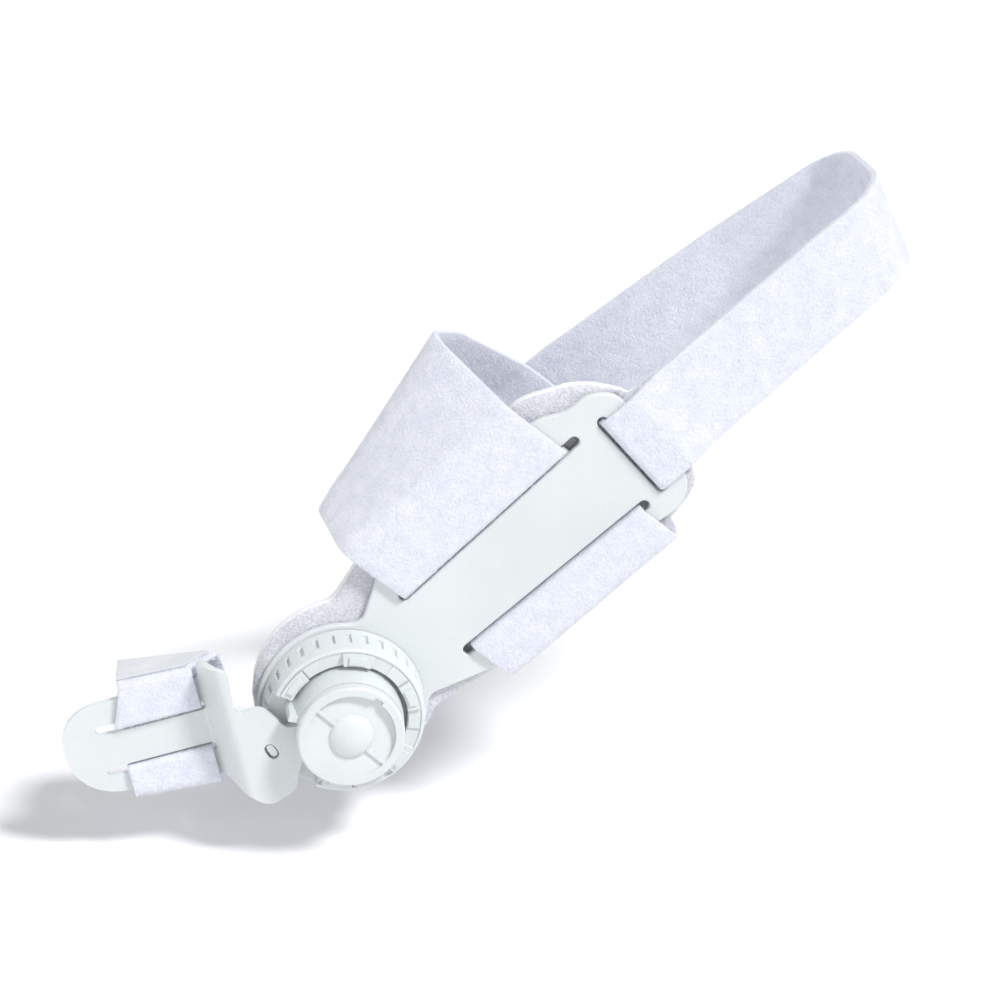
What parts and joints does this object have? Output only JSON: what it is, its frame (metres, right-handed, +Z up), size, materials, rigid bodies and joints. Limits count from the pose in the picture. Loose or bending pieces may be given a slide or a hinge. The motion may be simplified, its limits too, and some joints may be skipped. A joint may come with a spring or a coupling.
{
  "type": "bunion corrector",
  "caption": "Bunion corrector for a right foot, in its worn form: padded side plate, notched dial with a knob, hinged toe splint, and loop straps for the big toe, midfoot and heel.",
  "frame": {"origin": "on the foam pad's flat inner face, where the dial's axis meets it", "axes": "+X towards the heel, +Y into the foot along the dial's axis, +Z up; the foot plate rises 40.5 degrees towards the heel, as worn with the heel lifted"},
  "size_m": [0.229, 0.106, 0.1533],
  "materials": {
    "moulded_plastic": "satin",
    "felted_foam": "felt",
    "loop_fabric": "brushed",
    "hook_tape": "smooth"
  },
  "bodies": {
    "brace": {"foot_plate": "moulded_plastic", "foam_pad": "felted_foam", "dial_base": "moulded_plastic", "click_ring": "moulded_plastic", "dial_collar": "moulded_plastic", "midfoot_strap": "loop_fabric", "heel_strap": "loop_fabric"},
    "splint": {"toe_splint": "moulded_plastic", "splint_arm": "moulded_plastic", "toe_strap": "loop_fabric", "toe_hook_tab": "hook_tape"},
    "knob": {"knob": "moulded_plastic"}
  },
  "joints": [
    {"name": "splint_swing", "type": "hinge", "parent": "brace", "child": "splint", "pos_m": [0, 0, 0], "axis": [0, 1, 0], "range_deg": [-14, 8]},
    {"name": "knob_turn", "type": "hinge", "parent": "brace", "child": "knob", "pos_m": [0, 0, 0], "axis": [0, 1, 0], "continuous": true}
  ]
}
